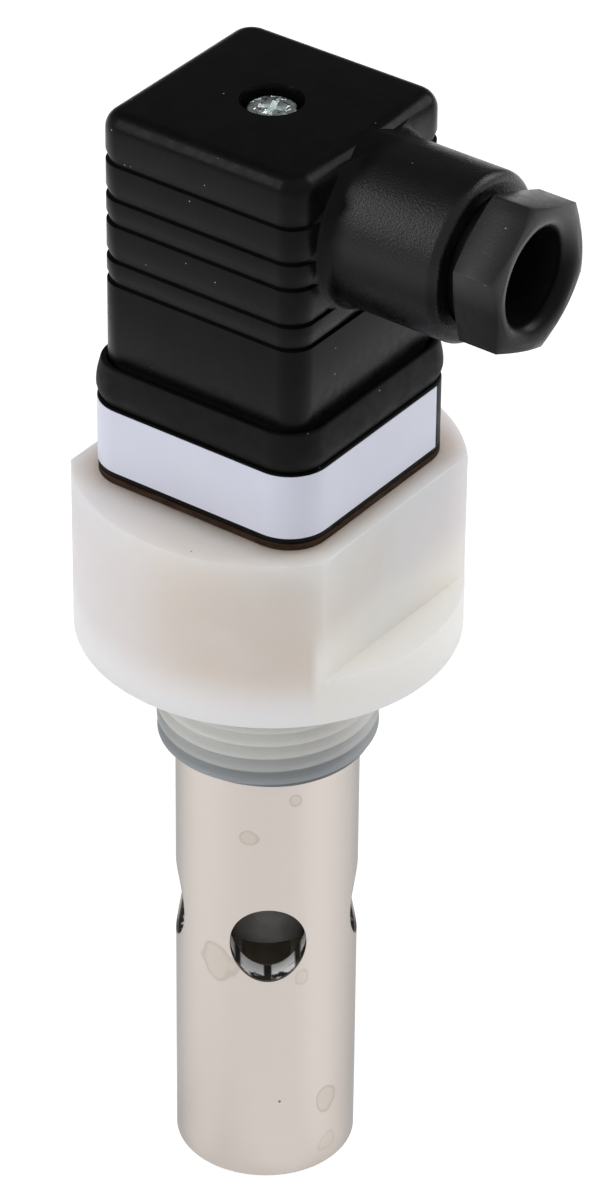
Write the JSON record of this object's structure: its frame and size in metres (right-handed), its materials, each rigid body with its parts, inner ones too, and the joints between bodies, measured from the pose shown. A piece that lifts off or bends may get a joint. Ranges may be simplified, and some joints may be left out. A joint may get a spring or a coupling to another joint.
{
  "type": "water conductivity probe",
  "caption": "Screw-in water conductivity probe: flanged plastic head with pipe thread, tube and rod electrodes with cross holes, and a square plug connector with cable gland.",
  "frame": {"origin": "on the probe's axis at the sealing shoulder, the underside of the head's flange, where the pipe thread starts", "axes": "+Z along the probe's axis from the electrodes to the connector, +X along the cable gland, pointing out of it"},
  "size_m": [0.059, 0.0456, 0.145],
  "materials": {
    "white_plastic": "machined natural fluoroplastic, slightly translucent",
    "satin_steel": "satin turned stainless steel with water marks",
    "grey_plastic": "dark grey moulded plastic",
    "black_plastic": "fine-grained moulded polyamide",
    "black_rubber": "smooth matt nitrile rubber",
    "brown_fibre": "pressed brown fibre",
    "label_white": "satin white film, blank",
    "brass": "bright tinned or plain brass",
    "zinc": "zinc-plated steel",
    "lead_red": "red wire insulation",
    "lead_blue": "blue wire insulation",
    "ceramic": "glazed ceramic sleeve"
  },
  "bodies": {
    "probe": {"probe_body": "white_plastic", "outer_electrode": "satin_steel", "tube_seal": "black_rubber", "electrode_insulator": "grey_plastic", "insulator_seal": "black_rubber", "inner_electrode": "satin_steel", "solder_tag": "brass", "electrode_nut": "zinc", "temperature_sensor": "ceramic", "outer_contact_pin": "brass", "lead_inner": "lead_red", "lead_outer": "lead_blue", "lead_sensor_1": "lead_red", "lead_sensor_2": "lead_blue", "base_gasket": "brown_fibre", "connector_base": "black_plastic", "type_label": "label_white", "base_screw_1": "zinc", "base_screw_2": "zinc", "base_screw_3": "zinc", "base_screw_4": "zinc", "pin_1": "brass", "pin_2": "brass", "pin_3": "brass", "pin_earth": "brass", "threaded_insert": "brass", "profile_gasket": "black_rubber"},
    "plug": {"plug_housing": "black_plastic", "contact_carrier": "grey_plastic", "socket_1": "brass", "socket_2": "brass", "socket_3": "brass", "socket_earth": "brass", "gland_grommet": "black_rubber"},
    "washer": {"gland_washer": "zinc"},
    "pressing_screw": {"gland_nut": "black_plastic"},
    "seal": {"screw_seal": "black_rubber"},
    "fixing": {"fixing_screw": "zinc"},
    "terminal_1": {"terminal_screw_1": "zinc"},
    "terminal_2": {"terminal_screw_2": "zinc"},
    "terminal_3": {"terminal_screw_3": "zinc"},
    "terminal_earth": {"terminal_screw_earth": "zinc"}
  },
  "joints": [
    {"name": "plug_lift", "type": "slide", "parent": "probe", "child": "plug", "axis": [0, 0, 1], "range_m": [0, 0.04]},
    {"name": "gland_travel", "type": "slide", "parent": "plug", "child": "washer", "axis": [1, 0, 0], "range_m": [0, 0.00423]},
    {"name": "gland_turn", "type": "hinge", "parent": "washer", "child": "pressing_screw", "pos_m": [0.0305, 0, 0.05895], "axis": [1, 0, 0], "range_deg": [0, 1081]},
    {"name": "screw_rise", "type": "slide", "parent": "plug", "child": "seal", "axis": [0, 0, 1], "range_m": [0, 0.005]},
    {"name": "screw_turn", "type": "hinge", "parent": "seal", "child": "fixing", "pos_m": [0, 0, 0.066], "axis": [0, 0, 1], "range_deg": [0, 3601]},
    {"name": "terminal_turn_1", "type": "hinge", "parent": "plug", "child": "terminal_1", "pos_m": [0.0075, 0, 0.052], "axis": [0, 0, 1], "range_deg": [0, 720]},
    {"name": "terminal_turn_2", "type": "hinge", "parent": "plug", "child": "terminal_2", "pos_m": [-0.0075, 0, 0.052], "axis": [0, 0, 1], "range_deg": [0, 720]},
    {"name": "terminal_turn_3", "type": "hinge", "parent": "plug", "child": "terminal_3", "pos_m": [0, 0.0075, 0.052], "axis": [0, 0, 1], "range_deg": [0, 720]},
    {"name": "terminal_turn_earth", "type": "hinge", "parent": "plug", "child": "terminal_earth", "pos_m": [0, -0.0075, 0.052], "axis": [0, 0, 1], "range_deg": [0, 720]}
  ],
  "couplings": [
    {"joint": "gland_turn", "follows": "gland_travel", "rad_per_m": 4456.1},
    {"joint": "screw_turn", "follows": "screw_rise", "rad_per_m": 12566}
  ]
}
